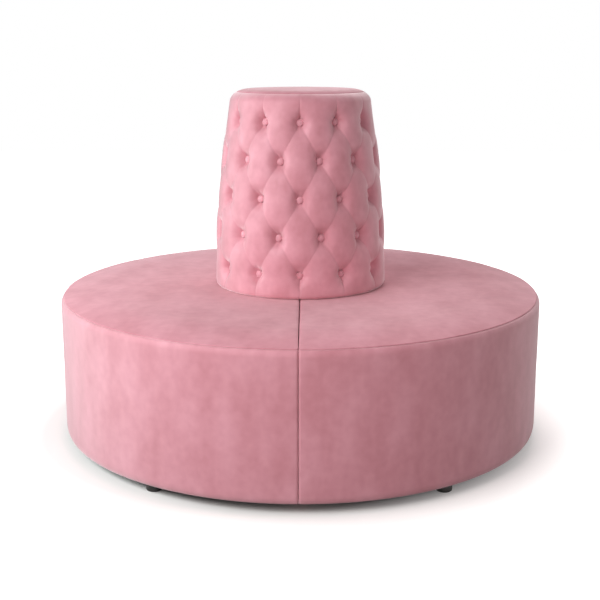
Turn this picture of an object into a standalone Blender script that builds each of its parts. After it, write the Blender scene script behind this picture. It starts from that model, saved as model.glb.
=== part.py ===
"""Round two-part banquette sofa with a deep-buttoned drum as its back.

Lengths are in metres and +Z is up. The origin is on the floor in the middle of the
sofa, and -Y is its front. The seat is two half-round upholstered boxes, right and
left, that meet on the plane X = 0. The back is a tapered drum on a plywood core,
which stands on both seat decks and is bolted to them from below.

Bearings round the sofa are in degrees from the front (-Y) towards the right (+X).
"""

import math

import bmesh
import bpy

# Overall sizes
SEAT_DIAMETER = 1.440
SEAT_HEIGHT = 0.450
BACK_HEIGHT = 0.585
UNDERSIDE_HEIGHT = 0.030

# Clearance left between pieces that touch
FIT_GAP = 0.0003

# Cloth, foam and boards
VELVET = 0.0015
DUST_CLOTH = 0.0008
BASE_BOARD = 0.018
DECK_BOARD = 0.015
SKIRT_PLY = 0.005
JOINT_PANEL = 0.015
RIB_BOARD = 0.015
SEAT_FOAM = 0.080
SKIRT_WADDING = 0.012

# Shape of the upholstered seat
SEAT_EDGE_RADIUS = 0.018
SEAT_EDGE_SEAM_TURN = 25.0
JOINT_EDGE_RADIUS = 0.009
SEAT_CROWN = 0.006
SEAT_CROWN_RUN = 0.100
JOINT_CROWN_RUN = 0.016
CORNER_RADIUS = 0.010
CROWN_CORNER_RADIUS = 0.022
HEM_CURL = 0.0018
HEM_LIP = 0.018
WELL_CLEARANCE = 0.0026
WELL_DIP = 0.0006
DIP_MARGIN = 0.006

# Ribs between the base board and the deck
RIB_BEARINGS = (48.0, 90.0, 132.0)
RIB_START_RADIUS = 0.060
RIB_HOLE_RADIUS = 0.050
RIB_HOLE_COUNT = 2

# Access openings in the base board under the back's bolts, one on each side of the middle rib
ACCESS_INNER_REACH = 0.045
ACCESS_OUTER_REACH = 0.140
ACCESS_BEARINGS = ((55.0, 83.0), (97.0, 125.0))

# Feet
FOOT_RADIUS = 0.022
FOOT_EDGE = 0.004
SPIGOT_RADIUS = 0.005
SPIGOT_LENGTH = 0.014
OUTER_FOOT_SETBACK = 0.024
OUTER_FOOT_BEARINGS = (35.0, 90.0, 145.0)
INNER_FOOT_PLACE_SHARE = 0.585
INNER_FOOT_BEARINGS = (14.0, 166.0)

# Steel plates that join the two halves, and their screws
PLATE_LENGTH = 0.120
PLATE_WIDTH = 0.040
PLATE_THICKNESS = 0.003
PLATE_CORNER = 0.006
PLATE_SETBACK = 0.140
PLATE_SCREW_SPACING = 0.080
SCREW_RADIUS = 0.0025
SCREW_LENGTH = 0.016
SCREW_HEAD_RADIUS = 0.005
SCREW_HEAD_HEIGHT = 0.0025

# Bolts that hold the back to the decks
BOLT_RADIUS = 0.004
BOLT_HEAD_RADIUS = 0.011
BOLT_HEAD_HEIGHT = 0.006
BOLT_SETBACK = 0.081
BOLT_BEARINGS = (66.0, 114.0)

# Core of the back
BACK_BASE_BOARD = 0.018
BACK_TOP_BOARD = 0.015
BACK_FORMER = 0.015
BACK_FORMER_HOLE_RADIUS = 0.060
BACK_SKIN_PLY = 0.005
BACK_POST = 0.035
BACK_POST_SETBACK = 0.014
BACK_POST_BEARINGS = (45.0, 135.0, 225.0, 315.0)

# Upholstery of the back
BACK_BASE_RADIUS = 0.258
BACK_TOP_RADIUS = 0.202
BACK_BULGE = 0.015
BACK_FOAM = 0.048
BACK_TOP_FOAM = 0.032
BACK_TOP_EDGE = 0.018
BACK_TOP_CROWN = 0.004
BACK_HEM_INSET = 0.013
BACK_HEM_RISE = 0.020

# Deep buttoning
BUTTONS_ROUND = 12
BUTTON_ROWS = 5
FIRST_ROW_RISE = 0.066
LAST_ROW_DROP = 0.089
BUTTON_DEPTH = 0.022
FOLD_DEPTH = 0.006
BUTTON_RADIUS = 0.0098
BUTTON_RISE = 0.006
BUTTON_TOP_SHARE = 0.72
PIT_REACH_SHARE = 0.5

# Facets
SEAT_STEPS = 30
WELL_STEPS = 24
CORNER_STEPS = 2
ACCESS_STEPS = 4
CELL_STEPS = 2
FOOT_SIDES = 14
HOLE_SIDES = 8
LARGE_HOLE_SIDES = 16
FASTENER_SIDES = 8
MERGE_DISTANCE = 0.00005

# Heights worked out from the sizes above
BASE_TOP = UNDERSIDE_HEIGHT + BASE_BOARD
SEAT_FOAM_TOP = SEAT_HEIGHT - VELVET - FIT_GAP
SEAT_FOAM_BOTTOM = SEAT_FOAM_TOP - SEAT_FOAM
DECK_TOP = SEAT_FOAM_BOTTOM - FIT_GAP
DECK_BOTTOM = DECK_TOP - DECK_BOARD
SEAT_RIM = SEAT_HEIGHT - SEAT_CROWN
HEM_BOTTOM = UNDERSIDE_HEIGHT - FIT_GAP - VELVET
DUST_BOTTOM = UNDERSIDE_HEIGHT - FIT_GAP - DUST_CLOTH
FOOT_TOP = DUST_BOTTOM - FIT_GAP
PLATE_TOP = HEM_BOTTOM - FIT_GAP
PLATE_BOTTOM = PLATE_TOP - PLATE_THICKNESS
BACK_CORE_BOTTOM = DECK_TOP + FIT_GAP
BACK_CORE_BASE_TOP = BACK_CORE_BOTTOM + BACK_BASE_BOARD
BACK_TOP = SEAT_HEIGHT + BACK_HEIGHT
BACK_PAD_TOP = BACK_TOP - VELVET - FIT_GAP
BACK_PAD_BOTTOM = BACK_PAD_TOP - BACK_TOP_FOAM
BACK_CORE_TOP = BACK_PAD_BOTTOM - FIT_GAP
BACK_COVER_BOTTOM = SEAT_HEIGHT + FIT_GAP
BACK_SEAM_HEIGHT = BACK_TOP - BACK_TOP_CROWN
FIRST_ROW_HEIGHT = SEAT_HEIGHT + FIRST_ROW_RISE
LAST_ROW_HEIGHT = BACK_TOP - LAST_ROW_DROP
ROW_SPACING = (LAST_ROW_HEIGHT - FIRST_ROW_HEIGHT) / (BUTTON_ROWS - 1)

# Distances from the middle, worked out in the same way
SEAT_RADIUS = SEAT_DIAMETER / 2
OUTER_FOOT_PLACE = SEAT_RADIUS - OUTER_FOOT_SETBACK - FOOT_RADIUS
INNER_FOOT_PLACE = SEAT_RADIUS * INNER_FOOT_PLACE_SHARE
PLATE_PLACE = SEAT_RADIUS - PLATE_SETBACK - PLATE_WIDTH / 2
WADDING_DEPTH = VELVET + FIT_GAP
WADDING_INNER_RADIUS = SEAT_RADIUS - WADDING_DEPTH - SKIRT_WADDING
SKIRT_RADIUS = WADDING_INNER_RADIUS - FIT_GAP
SKIRT_INNER_RADIUS = SKIRT_RADIUS - SKIRT_PLY
BOARD_RADIUS = SKIRT_INNER_RADIUS - FIT_GAP
JOINT_FACE = FIT_GAP
BOARD_FACE = JOINT_FACE + VELVET + FIT_GAP
PANEL_INNER_FACE = BOARD_FACE + JOINT_PANEL
SPIGOT_HOLE_RADIUS = (SPIGOT_RADIUS + FIT_GAP) / math.cos(math.pi / HOLE_SIDES)
SCREW_HOLE_RADIUS = (SCREW_RADIUS + FIT_GAP) / math.cos(math.pi / HOLE_SIDES)
BOLT_HOLE_RADIUS = (BOLT_RADIUS + FIT_GAP) / math.cos(math.pi / HOLE_SIDES)
BACK_STEPS = 2 * BUTTONS_ROUND * CELL_STEPS
BACK_TAPER = (BACK_BASE_RADIUS - BACK_TOP_RADIUS) / BACK_HEIGHT
BACK_SEAM_RADIUS = BACK_TOP_RADIUS - BACK_TOP_EDGE
FIRST_BUTTON_RING = 3

COLOURS = {
    "velvet": ((0.640, 0.262, 0.325), 0.85, 0.0),
    "foam": ((0.780, 0.740, 0.600), 0.95, 0.0),
    "plywood": ((0.560, 0.390, 0.230), 0.65, 0.0),
    "dust_cloth": ((0.012, 0.012, 0.013), 0.95, 0.0),
    "black_plastic": ((0.012, 0.011, 0.010), 0.45, 0.0),
    "steel": ((0.560, 0.560, 0.580), 0.35, 1.0),
}


def clear_scene():
    for obj in list(bpy.data.objects):
        bpy.data.objects.remove(obj, do_unlink=True)


def make_materials():
    for name, (colour, roughness, metallic) in COLOURS.items():
        material = bpy.data.materials.new(name)
        material.use_nodes = True
        shader = material.node_tree.nodes["Principled BSDF"]
        shader.inputs["Base Color"].default_value = (*colour, 1.0)
        shader.inputs["Roughness"].default_value = roughness
        shader.inputs["Metallic"].default_value = metallic


def make_empty(name, turn):
    """A parent for one part of the sofa, turned about the vertical axis by so many degrees."""
    empty = bpy.data.objects.new(name, None)
    empty.rotation_euler.z = math.radians(turn)
    bpy.data.collections["round_banquette"].objects.link(empty)
    return empty


def place(name, data, parent, material, location=(0, 0, 0), rotation=(0, 0, 0)):
    """A new object on its own or shared data, in the sofa's collection and under its parent."""
    if not data.materials:
        data.materials.append(bpy.data.materials[material])
    obj = bpy.data.objects.new(name, data)
    obj.location = location
    obj.rotation_euler = rotation
    obj.parent = parent
    bpy.data.collections["round_banquette"].objects.link(obj)
    return obj


def on_bearing(radius, bearing):
    turn = math.radians(bearing)
    return (radius * math.sin(turn), -radius * math.cos(turn))


def arc(centre, radius, bearings):
    return [
        (centre[0] + x, centre[1] + y)
        for x, y in (on_bearing(radius, bearing) for bearing in bearings)
    ]


def circle(centre, radius, sides):
    return arc(centre, radius, [360 * i / sides for i in range(sides)])


def between(start, end, steps):
    return [start + (end - start) * i / steps for i in range(steps + 1)]


def seat_arc_bearings(first):
    """Bearings of the points along a seat's outer arc. All but the end ones are shared by every
    piece, so that the facets of pieces nested in each other are parallel."""
    shared = [180 * i / SEAT_STEPS for i in range(1, SEAT_STEPS)]
    return [first, *shared, 180 - first]


def rounded_arc(radius, face, corner):
    """The right seat's curved side, from the joint face at the front to that at the rear, with
    its two corners rounded."""
    middle = (face + corner, math.sqrt((radius - corner) ** 2 - (face + corner) ** 2))
    first = math.degrees(math.atan2(*middle))
    front = arc((middle[0], -middle[1]), corner, between(-90, first, CORNER_STEPS))
    rear = arc(middle, corner, between(180 - first, 270, CORNER_STEPS))
    outer = arc((0, 0), radius, seat_arc_bearings(first))
    return front[:-1] + outer + rear[1:]


def sharp_arc(radius, face):
    return arc((0, 0), radius, seat_arc_bearings(math.degrees(math.asin(face / radius))))


def well_arc(radius, face):
    """The quarter turns of the hollow that the back stands in, from the rear to the front."""
    first = math.degrees(math.asin(face / radius))
    shared = [180 * i / WELL_STEPS for i in range(1, WELL_STEPS)]
    return arc((0, 0), radius, [180 - first, *reversed(shared), first])


def access_opening(bearings):
    outer = arc((0, 0), BOLT_PLACE + ACCESS_OUTER_REACH, between(*bearings, ACCESS_STEPS))
    inner = arc((0, 0), BOLT_PLACE - ACCESS_INNER_REACH, between(*bearings, ACCESS_STEPS))
    return outer + inner[::-1]


def board_data(name, outlines, thickness):
    """A flat piece whose first outline is its edge and whose others are holes."""
    curve = bpy.data.curves.new(name, "CURVE")
    curve.dimensions = "2D"
    curve.fill_mode = "BOTH"
    curve.extrude = thickness / 2
    for outline in outlines:
        spline = curve.splines.new("POLY")
        spline.points.add(len(outline) - 1)
        for point, (x, y) in zip(spline.points, outline):
            point.co = (x, y, 0, 1)
        spline.use_cyclic_u = True
    return curve


def mesh_data(name, made, smooth_under=40):
    mesh = bpy.data.meshes.new(name)
    bmesh.ops.recalc_face_normals(made, faces=made.faces)
    made.to_mesh(mesh)
    made.free()
    mesh.shade_smooth()
    mesh.set_sharp_from_angle(angle=math.radians(smooth_under))
    return mesh


def fold_rises(column, height):
    """Whether the fold that crosses a cell of the buttoned cloth rises with the bearing."""
    row = math.floor((height - FIRST_ROW_HEIGHT) / ROW_SPACING)
    return (column + row) % 2 == 0


def loft(rings, closed, folded=False):
    """Faces between rings of equal length. A closed loft joins the last ring to the first, as
    round a tube's wall, and an open one has a flat face on its first and its last ring. A
    folded one has each facet creased in the direction of the folds between the buttons."""
    made = bmesh.new()
    rows = [[made.verts.new(point) for point in ring] for ring in rings]
    pairs = list(zip(rows, rows[1:]))
    if closed:
        pairs.append((rows[-1], rows[0]))
    else:
        made.faces.new(rows[0])
        made.faces.new(rows[-1])
    for upper, lower in pairs:
        for i in range(len(upper)):
            j = i - 1
            low, high = sorted((upper, lower), key=lambda row: row[i].co.z)
            height = (low[i].co.z + high[i].co.z) / 2
            if not folded or fold_rises((i - 1) // CELL_STEPS, height):
                made.faces.new((low[j], high[i], high[j]))
                made.faces.new((low[j], low[i], high[i]))
            else:
                made.faces.new((high[j], low[j], low[i]))
                made.faces.new((high[j], low[i], high[i]))
    return made, rows


def turned_data(name, profile, material, parent, sides, location=(0, 0, 0), rotation=(0, 0, 0)):
    """A round piece: a profile of (radius, height), from its top down its outer side, turned
    about the vertical axis."""
    made = bmesh.new()
    corners = [made.verts.new((radius, 0, height)) for radius, height in profile]
    for first, second in zip(corners, corners[1:]):
        made.edges.new((first, second))
    if profile[0][0] > 0:
        made.edges.new((corners[-1], corners[0]))
    mesh = bpy.data.meshes.new(name)
    made.to_mesh(mesh)
    made.free()
    obj = place(name, mesh, parent, material, location, rotation)
    screw = obj.modifiers.new("turn", "SCREW")
    screw.steps = sides
    screw.render_steps = sides
    screw.use_merge_vertices = True
    screw.merge_threshold = MERGE_DISTANCE
    screw.use_smooth_shade = True
    return obj


# Seat boxes


def seat_ring(turn, depth):
    """One ring over the seat's rounded edge, so many degrees up it, at a depth below the
    velvet's face: (distance in from the outer face, distance in from the joint face, height)."""
    tip = 1 - math.cos(math.radians(turn))
    rise = math.sin(math.radians(turn))
    inward = depth * math.cos(math.radians(turn))
    height = SEAT_RIM - SEAT_EDGE_RADIUS * (1 - rise) - depth * rise
    return SEAT_EDGE_RADIUS * tip + inward, JOINT_EDGE_RADIUS * tip + inward, height


def seat_outline(turn, depth):
    """A closed ring of the seat's top, with the back's well cut out of it, as 3D points."""
    outer_inset, joint_inset, height = seat_ring(turn, depth)
    corner = CORNER_RADIUS - depth * math.cos(math.radians(turn))
    edge = rounded_arc(SEAT_RADIUS - outer_inset, JOINT_FACE + joint_inset, corner)
    well = well_arc(WELL_RADIUS + depth, JOINT_FACE + joint_inset)
    well_height = height if turn < 90 else SEAT_HEIGHT - WELL_DIP - depth
    return [(x, y, height) for x, y in edge] + [(x, y, well_height) for x, y in well]


def crown_outline(depth):
    """The ring where the seat's gentle crown levels out. Under the back the seat dips a little."""
    radius = SEAT_RADIUS - SEAT_EDGE_RADIUS - SEAT_CROWN_RUN
    face = JOINT_FACE + JOINT_EDGE_RADIUS + JOINT_CROWN_RUN
    edge = rounded_arc(radius, face, CROWN_CORNER_RADIUS)
    well = well_arc(BACK_BASE_RADIUS + DIP_MARGIN, face)
    return [(x, y, SEAT_HEIGHT - depth) for x, y in edge + well]


def seat_top_rings(depth, first_turn):
    turns = [first_turn, (first_turn + 90) / 2, 90]
    return [seat_outline(turn, depth) for turn in turns] + [crown_outline(depth)]


def seat_cover_data():
    outer = seat_top_rings(0, SEAT_EDGE_SEAM_TURN)
    inner = seat_top_rings(VELVET, SEAT_EDGE_SEAM_TURN)
    made, _ = loft(outer[::-1] + inner, closed=False)
    return mesh_data("seat_cover", made)


def seat_foam_data():
    depth = VELVET + FIT_GAP
    upper = [seat_outline(0, depth), *seat_top_rings(depth, SEAT_EDGE_SEAM_TURN)]
    floor = [(x, y, SEAT_FOAM_BOTTOM) for x, y, _ in upper[0]]
    made, _ = loft([floor, *upper], closed=False)
    return mesh_data("seat_foam", made)


def wrap_rings():
    """(inset from the outer face, inset from the joint face, height) down the upright covers,
    from the seam on the seat's edge to the lip under the base board."""
    seam_turn = SEAT_EDGE_SEAM_TURN - math.degrees(VELVET / SEAT_EDGE_RADIUS)
    knuckle = HEM_CURL * (1 - math.sqrt(0.5))
    return [
        seat_ring(seam_turn, 0),
        seat_ring(0, 0),
        (0, 0, DECK_BOTTOM),
        (0, 0, HEM_BOTTOM + HEM_CURL),
        (knuckle, knuckle, HEM_BOTTOM + knuckle),
        (HEM_CURL, HEM_CURL, HEM_BOTTOM),
        (HEM_LIP, HEM_LIP, HEM_BOTTOM),
    ]


def wrap_cover_data(name, path, stays_low=()):
    """A sheet of velvet down one upright side of a seat box. Path gives its line in plan for an
    inset from the outer face, one from the joint face and a corner radius. Over the steps of
    the line that stay low, the sheet ends level with the deck's underside."""
    made = bmesh.new()
    rows = []
    for outer_inset, joint_inset, height in wrap_rings():
        line = path(SEAT_RADIUS - outer_inset, JOINT_FACE + joint_inset, CORNER_RADIUS)
        rows.append([made.verts.new((x, y, height)) for x, y in line])
    for upper, lower in zip(rows, rows[1:]):
        for i in range(1, len(upper)):
            if i in stays_low and upper[i].co.z > DECK_BOTTOM:
                continue
            made.faces.new((upper[i - 1], lower[i - 1], lower[i], upper[i]))
    mesh = bpy.data.meshes.new(name)
    made.to_mesh(mesh)
    made.free()
    mesh.shade_smooth()
    return mesh


def joint_line(radius, face, corner):
    """The straight side of a seat box, between the two rounded corners, with its second step
    across the hollow for the back."""
    end = math.sqrt((radius - corner) ** 2 - (face + corner) ** 2) - VELVET
    hollow = WELL_RADIUS
    return [(face, end), (face, hollow), (face, -hollow), (face, -end)]


def add_cloth_thickness(obj):
    shell = obj.modifiers.new("cloth", "SOLIDIFY")
    shell.thickness = VELVET
    shell.offset = -1
    shell.use_even_offset = True


def wadding_data():
    outer = rounded_arc(SEAT_RADIUS - WADDING_DEPTH, BOARD_FACE, CORNER_RADIUS - WADDING_DEPTH)
    inner = sharp_arc(WADDING_INNER_RADIUS, BOARD_FACE)
    return board_data("skirt_wadding", [outer + inner[::-1]], DECK_TOP - WADDING_BOTTOM)


def skirt_data():
    strip = sharp_arc(SKIRT_RADIUS, BOARD_FACE) + sharp_arc(SKIRT_INNER_RADIUS, BOARD_FACE)[::-1]
    return board_data("skirt_panel", [strip], DECK_TOP - UNDERSIDE_HEIGHT)


def foot_places():
    """(name, x, y) of the feet under the right seat box."""
    outer = [on_bearing(OUTER_FOOT_PLACE, bearing) for bearing in OUTER_FOOT_BEARINGS]
    inner = [on_bearing(INNER_FOOT_PLACE, bearing) for bearing in INNER_FOOT_BEARINGS]
    names = ("outer_front", "outer_middle", "outer_rear", "inner_front", "inner_rear")
    return [(name, *spot) for name, spot in zip(names, outer + inner)]


def screw_places():
    return [(PLATE_SCREW_SPACING / 2, y) for y in (-PLATE_PLACE, PLATE_PLACE)]


def bolt_places():
    return [on_bearing(BOLT_PLACE, bearing) for bearing in BOLT_BEARINGS]


def fixing_holes():
    feet = [circle(spot[1:], SPIGOT_HOLE_RADIUS, HOLE_SIDES) for spot in foot_places()]
    screws = [circle(spot, SCREW_HOLE_RADIUS, HOLE_SIDES) for spot in screw_places()]
    return feet + screws


def base_board_data():
    access = [access_opening(bearings) for bearings in ACCESS_BEARINGS]
    edge = sharp_arc(BOARD_RADIUS, BOARD_FACE)
    return board_data("base_board", [edge, *fixing_holes(), *access], BASE_BOARD)


def deck_board_data():
    holes = [circle(spot, BOLT_HOLE_RADIUS, HOLE_SIDES) for spot in bolt_places()]
    return board_data("deck_board", [sharp_arc(BOARD_RADIUS, BOARD_FACE), *holes], DECK_BOARD)


def dust_cover_data():
    inset = HEM_LIP + FIT_GAP
    edge = rounded_arc(SEAT_RADIUS - inset, JOINT_FACE + inset, CORNER_RADIUS)
    return board_data("dust_cover", [edge, *fixing_holes()], DUST_CLOTH)


def joint_panel_data():
    """The upright board on the joint's side of a seat box, drawn in its own (Y, Z) plane."""
    half = BOARD_RADIUS * math.cos(math.pi / SEAT_STEPS / 2)
    low, high = BASE_TOP + FIT_GAP, DECK_BOTTOM - FIT_GAP
    outline = [(-half, low), (half, low), (half, high), (-half, high)]
    return board_data("joint_panel", [outline], JOINT_PANEL)


def rib_data(name, start):
    """An upright rib, drawn in the plane of (distance from the middle, height)."""
    end = SKIRT_INNER_RADIUS - FIT_GAP - RIB_BOARD * math.sin(math.pi / SEAT_STEPS)
    low, high = BASE_TOP + FIT_GAP, DECK_BOTTOM - FIT_GAP
    outline = [(start, low), (end, low), (end, high), (start, high)]
    pitch = (end - start) / RIB_HOLE_COUNT
    middles = [(start + pitch * (i + 0.5), (low + high) / 2) for i in range(RIB_HOLE_COUNT)]
    holes = [circle(middle, RIB_HOLE_RADIUS, LARGE_HOLE_SIDES) for middle in middles]
    return board_data(name, [outline, *holes], RIB_BOARD)


def foot_profile():
    knuckle = FOOT_EDGE * (1 - math.sqrt(0.5))
    return [
        (0, FOOT_TOP + SPIGOT_LENGTH),
        (SPIGOT_RADIUS, FOOT_TOP + SPIGOT_LENGTH),
        (SPIGOT_RADIUS, FOOT_TOP),
        (FOOT_RADIUS, FOOT_TOP),
        (FOOT_RADIUS, FOOT_EDGE),
        (FOOT_RADIUS - knuckle, knuckle),
        (FOOT_RADIUS - FOOT_EDGE, 0),
        (0, 0),
    ]


def seat_half_data():
    """The pieces that each seat box has one of: name, data, material, bottom height."""
    return [
        ("base_board", base_board_data(), "plywood", UNDERSIDE_HEIGHT + BASE_BOARD / 2),
        ("deck_board", deck_board_data(), "plywood", DECK_BOTTOM + DECK_BOARD / 2),
        ("skirt_panel", skirt_data(), "plywood", (UNDERSIDE_HEIGHT + DECK_TOP) / 2),
        ("skirt_wadding", wadding_data(), "foam", (WADDING_BOTTOM + DECK_TOP) / 2),
        ("dust_cover", dust_cover_data(), "dust_cloth", DUST_BOTTOM + DUST_CLOTH / 2),
        ("seat_foam", seat_foam_data(), "foam", 0),
        ("seat_cover", seat_cover_data(), "velvet", 0),
    ]


def build_seat_half(side, turn, shared):
    """One seat box. The left one is the right one turned by half a turn, so its front and rear
    pieces swap their names."""
    parent = make_empty("seat_box_" + side, turn)

    def named(piece):
        swap = {"front": "rear", "rear": "front"} if side == "left" else {}
        words = [swap.get(word, word) for word in piece.split("_")]
        return "_".join([*words, side])

    for piece, data, material, height in shared["single"]:
        place(named(piece), data, parent, material, (0, 0, height))
    for piece in ("band_cover", "joint_cover"):
        obj = place(named(piece), shared[piece], parent, "velvet")
        add_cloth_thickness(obj)
    upright = math.radians(90)
    place(
        named("joint_panel"),
        shared["joint_panel"],
        parent,
        "plywood",
        (BOARD_FACE + JOINT_PANEL / 2, 0, 0),
        (upright, 0, upright),
    )
    for piece, bearing, key in zip(("front", "middle", "rear"), RIB_BEARINGS, shared["ribs"]):
        turn_out = math.radians(bearing - 90)
        place(named("rib_" + piece), key, parent, "plywood", rotation=(upright, 0, turn_out))
    for piece, x, y in foot_places():
        turned_data(
            named("foot_" + piece), foot_profile(), "black_plastic", parent, FOOT_SIDES, (x, y, 0)
        )


def build_seats():
    edge_rib = rib_data("rib_edge", RIB_START_RADIUS)
    middle_rib = rib_data("rib_middle", PANEL_INNER_FACE + FIT_GAP)
    shared = {
        "single": seat_half_data(),
        "band_cover": wrap_cover_data("band_cover", rounded_arc),
        "joint_cover": wrap_cover_data("joint_cover", joint_line, stays_low=(2,)),
        "joint_panel": joint_panel_data(),
        "ribs": (edge_rib, middle_rib, edge_rib),
    }
    build_seat_half("right", 0, shared)
    build_seat_half("left", 180, shared)


# Fixings between the halves and the back


def plate_data():
    x, y = PLATE_LENGTH / 2 - PLATE_CORNER, PLATE_WIDTH / 2 - PLATE_CORNER
    corners = (((x, -y), 0), ((x, y), 90), ((-x, y), 180), ((-x, -y), 270))
    outline = []
    for middle, bearing in corners:
        outline += arc(middle, PLATE_CORNER, between(bearing, bearing + 90, CORNER_STEPS))
    holes = [
        circle((side * PLATE_SCREW_SPACING / 2, 0), SCREW_HOLE_RADIUS, HOLE_SIDES) for side in (-1, 1)
    ]
    return board_data("joining_plate", [outline, *holes], PLATE_THICKNESS)


def pan_head_profile(radius, top, head_top, head_radius, head_height):
    """A fastener that stands head down: its shank's tip is its top."""
    return [
        (0, top),
        (radius, top),
        (radius, head_top),
        (head_radius, head_top),
        (head_radius, head_top - head_height / 2),
        (head_radius - head_height / 2, head_top - head_height),
        (0, head_top - head_height),
    ]


def build_fixings():
    parent = make_empty("fixings", 0)
    plate = plate_data()
    head_top = PLATE_BOTTOM - FIT_GAP
    tip = head_top + SCREW_LENGTH
    screw = pan_head_profile(SCREW_RADIUS, tip, head_top, SCREW_HEAD_RADIUS, SCREW_HEAD_HEIGHT)
    for end, y in (("front", -PLATE_PLACE), ("rear", PLATE_PLACE)):
        middle = PLATE_BOTTOM + PLATE_THICKNESS / 2
        place("joining_plate_" + end, plate, parent, "steel", (0, y, middle))
        for side, sign in (("left", -1), ("right", 1)):
            spot = (sign * PLATE_SCREW_SPACING / 2, y, 0)
            name = f"plate_screw_{end}_{side}"
            turned_data(name, screw, "steel", parent, FASTENER_SIDES, spot)
    bolt_seat = DECK_BOTTOM - FIT_GAP
    bolt = pan_head_profile(
        BOLT_RADIUS, BACK_CORE_BASE_TOP, bolt_seat, BOLT_HEAD_RADIUS, BOLT_HEAD_HEIGHT
    )
    for (x, y), ends in zip(bolt_places(), (("front", "rear"), ("rear", "front"))):
        for side, sign, end in (("right", 1, ends[0]), ("left", -1, ends[1])):
            name = f"back_bolt_{end}_{side}"
            turned_data(name, bolt, "steel", parent, FASTENER_SIDES, (sign * x, sign * y, 0))


# Back


def back_radius(height):
    """Radius of the back over the crowns of its buttoned diamonds."""
    share = (height - SEAT_HEIGHT) / BACK_HEIGHT
    straight = BACK_BASE_RADIUS + (BACK_TOP_RADIUS - BACK_BASE_RADIUS) * share
    return straight + BACK_BULGE * 4 * share * (1 - share)


def core_radius(height):
    """Outer radius of the plywood skin, which tapers as the back does."""
    return BACK_BASE_RADIUS - VELVET - FIT_GAP - BACK_FOAM - BACK_TAPER * (height - SEAT_HEIGHT)


def core_inner_radius(height):
    return core_radius(height) - BACK_SKIN_PLY


WELL_RADIUS = core_radius(DECK_TOP) + WELL_CLEARANCE
WADDING_BOTTOM = UNDERSIDE_HEIGHT + HEM_CURL
BOLT_PLACE = core_inner_radius(DECK_TOP) - BOLT_SETBACK
BACK_POST_PLACE = core_inner_radius(BACK_CORE_TOP) - BACK_POST_SETBACK - BACK_POST * math.sqrt(0.5)


def pillow(place_share):
    """0 on a fold and 1 half way between two folds."""
    part = place_share % 1
    return 4 * part * (1 - part)


def tuft_drop(column, height):
    """How far the buttoned cloth lies in from the crowns. Column counts half button spacings.
    Above and below the buttons the folds become pleats that fade out at the seams."""
    row = (height - FIRST_ROW_HEIGHT) / ROW_SPACING
    inside = min(max(row, 0), BUTTON_ROWS - 1)
    across = pillow((column + inside) / 2)
    against = pillow((column - inside) / 2)
    pit = 1 - (across + against - across * against)
    fold = 1 - across * against
    beyond = abs(row - inside)
    pit *= max(0, 1 - beyond / PIT_REACH_SHARE)
    fold *= max(0, 1 - beyond * ROW_SPACING / (BACK_SEAM_HEIGHT - LAST_ROW_HEIGHT))
    return (BUTTON_DEPTH - FOLD_DEPTH) * pit + FOLD_DEPTH * fold


def back_ring(radius, height, depth):
    """A ring of the buttoned cover at a depth below the velvet's face."""
    bearings = [360 * i / BACK_STEPS for i in range(BACK_STEPS)]
    ring = []
    for i, bearing in enumerate(bearings):
        drop = tuft_drop(i / CELL_STEPS, height)
        ring.append((*on_bearing(radius - drop - depth, bearing), height))
    return ring


def back_ring_places():
    """(radius over the crowns, height) of the rings of the buttoned cover, from the top seam
    down over the button rows to the hem on the seat."""
    rows = between(LAST_ROW_HEIGHT, FIRST_ROW_HEIGHT, (BUTTON_ROWS - 1) * CELL_STEPS)
    shoulder = BACK_SEAM_HEIGHT - BACK_TOP_EDGE
    hem_knee = SEAT_HEIGHT + BACK_HEM_RISE
    return [
        (BACK_SEAM_RADIUS, BACK_SEAM_HEIGHT),
        (back_radius(shoulder), shoulder),
        (back_radius(BACK_CORE_TOP), BACK_CORE_TOP),
        *[(back_radius(height), height) for height in rows],
        (back_radius(hem_knee), hem_knee),
        (back_radius(SEAT_HEIGHT) - BACK_HEM_INSET, BACK_COVER_BOTTOM),
    ]


def lowered(places, depth):
    """Ring places at a depth below the velvet's face: the seam's ring drops, the hem's rises."""
    (seam_radius, seam_height), *rest, (hem_radius, hem_height) = places
    return [(seam_radius, seam_height - depth), *rest, (hem_radius, hem_height + depth)]


def tufted_rings(depth):
    places = lowered(back_ring_places(), depth)
    return [back_ring(radius, height, depth) for radius, height in places]


def add_buttons(made, centres):
    """Widens each point of a button to a small flat, and raises the flat to a round button."""
    bevelled = bmesh.ops.bevel(
        made, geom=centres, offset=BUTTON_RADIUS, affect="VERTICES", segments=1, clamp_overlap=True
    )
    for flat in bevelled["faces"]:
        middle = flat.calc_center_median()
        outward = flat.normal.copy()
        for vert in flat.verts:
            arm = vert.co - middle
            arm -= outward * arm.dot(outward)
            vert.co = middle + arm.normalized() * BUTTON_RADIUS
    raised = bmesh.ops.extrude_discrete_faces(made, faces=bevelled["faces"])
    for top in raised["faces"]:
        middle = top.calc_center_median()
        lift = top.normal * BUTTON_RISE
        for vert in top.verts:
            vert.co = middle + (vert.co - middle) * BUTTON_TOP_SHARE + lift


def back_cover_data():
    made, rows = loft(tufted_rings(0) + tufted_rings(VELVET)[::-1], closed=True, folded=True)
    bmesh.ops.recalc_face_normals(made, faces=made.faces)
    centres = []
    for row in range(BUTTON_ROWS):
        ring = rows[FIRST_BUTTON_RING + row * CELL_STEPS]
        start = CELL_STEPS * (row % 2)
        centres += ring[start :: 2 * CELL_STEPS]
    add_buttons(made, centres)
    return mesh_data("back_cover", made)


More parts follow.
